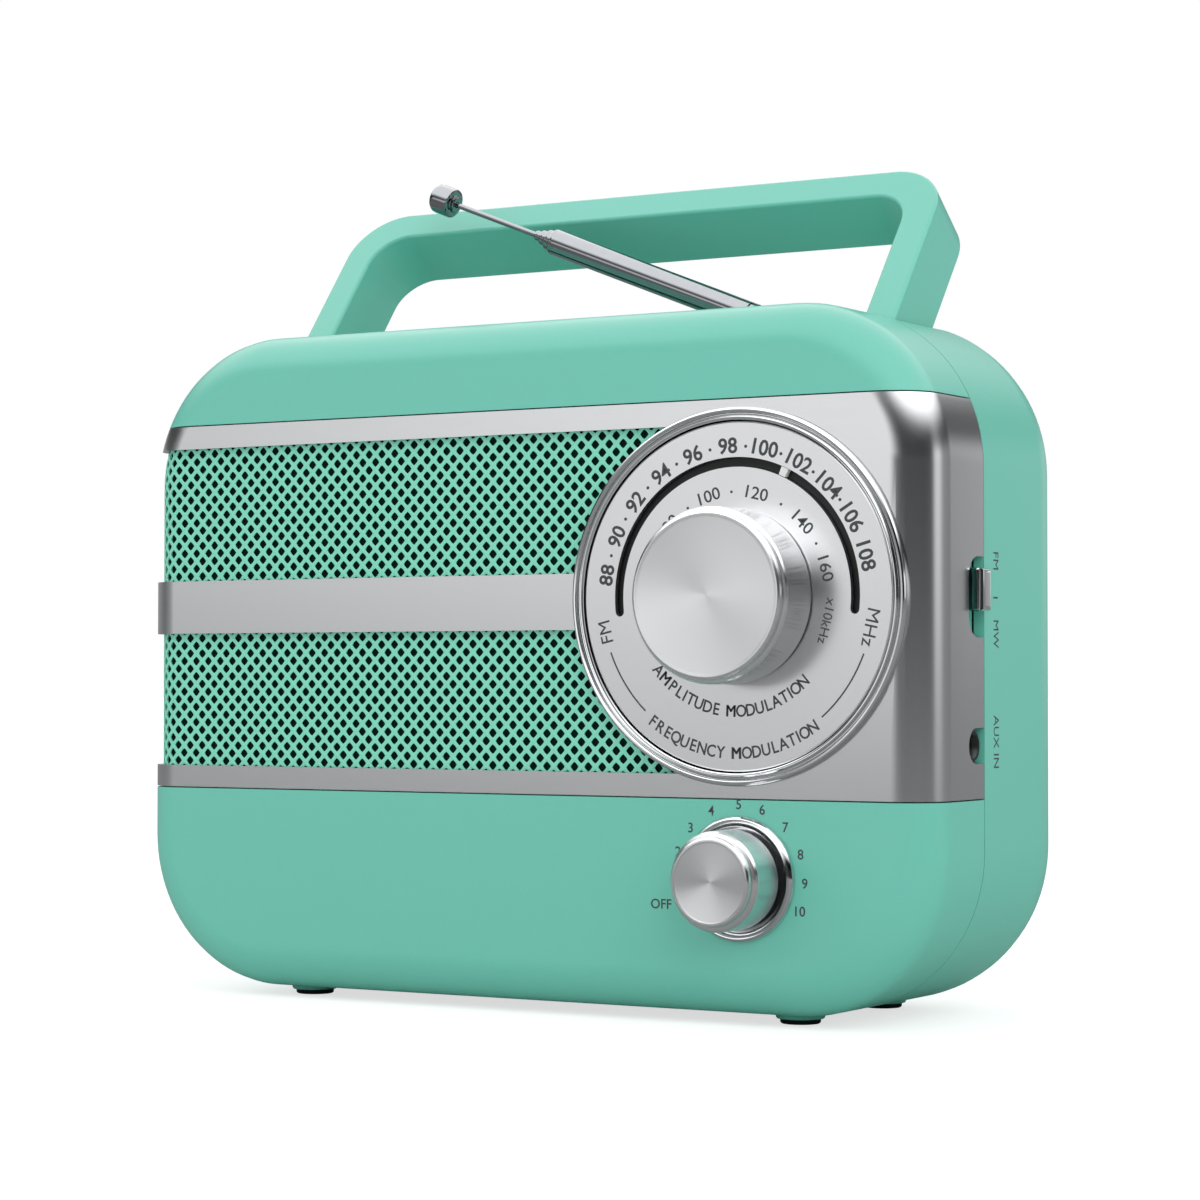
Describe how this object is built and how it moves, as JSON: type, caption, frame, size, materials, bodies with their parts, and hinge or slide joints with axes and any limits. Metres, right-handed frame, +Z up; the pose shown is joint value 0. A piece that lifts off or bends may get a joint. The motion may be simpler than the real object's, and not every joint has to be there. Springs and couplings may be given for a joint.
{
  "type": "portable radio",
  "caption": "Portable table radio with a round tuning dial, mesh grilles, a fold-back carrying handle and a telescopic antenna.",
  "frame": {"origin": "middle of the footprint, between the tuning knob's face and the case's back, on the surface under the feet", "axes": "+X to the right seen from the front, +Y towards the back, +Z up"},
  "size_m": [0.221, 0.0958, 0.2055],
  "materials": {
    "case_plastic": "satin",
    "brushed_metal": "satin",
    "grille_wire": "satin",
    "chrome": "polished",
    "pointer_paint": "matte",
    "black_plastic": "satin",
    "steel": "satin",
    "capacitor_case": "matte",
    "cone_paper": "matte",
    "ferrite": "matte",
    "copper_wire": "satin",
    "board": "matte",
    "cell_sleeve": "satin",
    "foot_rubber": "matte"
  },
  "bodies": {
    "case": {"front_shell": "case_plastic", "rear_shell": "case_plastic", "fascia": "brushed_metal", "dial_plate": "brushed_metal", "grille_upper": "grille_wire", "grille_lower": "grille_wire", "dial_bezel": "chrome", "volume_bezel": "chrome", "aux_jack": "black_plastic", "ferrite_clip_left": "black_plastic", "ferrite_clip_right": "black_plastic", "battery_box": "black_plastic", "volume_potentiometer": "steel", "band_switch_body": "steel", "speaker_basket": "steel", "battery_spring_upper": "steel", "battery_spring_lower": "steel", "battery_contact_upper": "steel", "battery_contact_lower": "steel", "handle_pin_left": "steel", "handle_pin_right": "steel", "case_screw_lower_left": "steel", "case_screw_lower_right": "steel", "case_screw_upper_left": "steel", "case_screw_upper_right": "steel", "tuning_capacitor": "capacitor_case", "speaker_cone": "cone_paper", "speaker_magnet": "ferrite", "ferrite_rod": "ferrite", "ferrite_coil": "copper_wire", "circuit_board": "board", "battery_cell_1": "cell_sleeve", "battery_cell_2": "cell_sleeve", "battery_cell_3": "cell_sleeve", "battery_cell_4": "cell_sleeve", "foot_front_left": "foot_rubber", "foot_front_right": "foot_rubber", "foot_rear_left": "foot_rubber", "foot_rear_right": "foot_rubber"},
    "tuning": {"tuning_knob": "brushed_metal", "tuning_shaft": "steel", "pointer_disc": "black_plastic", "dial_pointer": "pointer_paint"},
    "volume": {"volume_knob": "brushed_metal", "volume_shaft": "steel"},
    "band_switch": {"band_switch_nub": "chrome"},
    "handle": {"handle": "case_plastic"},
    "antenna_swivel": {"antenna_base": "chrome", "antenna_pin": "steel", "antenna_base_screw": "steel"},
    "antenna_mast": {"antenna_knuckle": "chrome", "antenna_tube_1": "chrome"},
    "antenna_stage_2": {"antenna_tube_2": "chrome"},
    "antenna_stage_3": {"antenna_tube_3": "chrome"},
    "antenna_stage_4": {"antenna_tube_4": "chrome"},
    "antenna_top": {"antenna_rod": "chrome", "antenna_tip": "chrome"},
    "battery_cover": {"battery_door": "case_plastic"}
  },
  "joints": [
    {"name": "tuning_turn", "type": "hinge", "parent": "case", "child": "tuning", "pos_m": [0.0614, -0.03315, 0.0965], "axis": [0, 1, 0], "range_deg": [-112, 66]},
    {"name": "volume_turn", "type": "hinge", "parent": "case", "child": "volume", "pos_m": [0.0619, -0.03315, 0.0333], "axis": [0, 1, 0], "range_deg": [0, 228]},
    {"name": "band_switch_slide", "type": "slide", "parent": "case", "child": "band_switch", "axis": [0, 0, 1], "range_m": [-0.0032, 0]},
    {"name": "handle_fold", "type": "hinge", "parent": "case", "child": "handle", "pos_m": [0, 0.00505, 0.1544], "axis": [-1, 0, 0], "range_deg": [0, 40]},
    {"name": "antenna_swivel_turn", "type": "hinge", "parent": "case", "child": "antenna_swivel", "pos_m": [0.045, 0.01885, 0.1628], "axis": [0, 0, 1], "range_deg": [0, 150]},
    {"name": "antenna_tilt", "type": "hinge", "parent": "antenna_swivel", "child": "antenna_mast", "pos_m": [0.045, 0.01885, 0.1628], "axis": [0, 1, 0], "range_deg": [-21.4, 68.6]},
    {"name": "antenna_stage_2_slide", "type": "slide", "parent": "antenna_mast", "child": "antenna_stage_2", "axis": [-0.9311, 0, 0.3649], "range_m": [0, 0.045]},
    {"name": "antenna_stage_3_slide", "type": "slide", "parent": "antenna_stage_2", "child": "antenna_stage_3", "axis": [-0.9311, 0, 0.3649], "range_m": [0, 0.045]},
    {"name": "antenna_stage_4_slide", "type": "slide", "parent": "antenna_stage_3", "child": "antenna_stage_4", "axis": [-0.9311, 0, 0.3649], "range_m": [0, 0.045]},
    {"name": "antenna_top_slide", "type": "slide", "parent": "antenna_stage_4", "child": "antenna_top", "axis": [-0.9311, 0, 0.3649], "range_m": [-0.025, 0.028]},
    {"name": "battery_door_lift", "type": "slide", "parent": "case", "child": "battery_cover", "axis": [0, 1, 0], "range_m": [0, 0.015]}
  ]
}
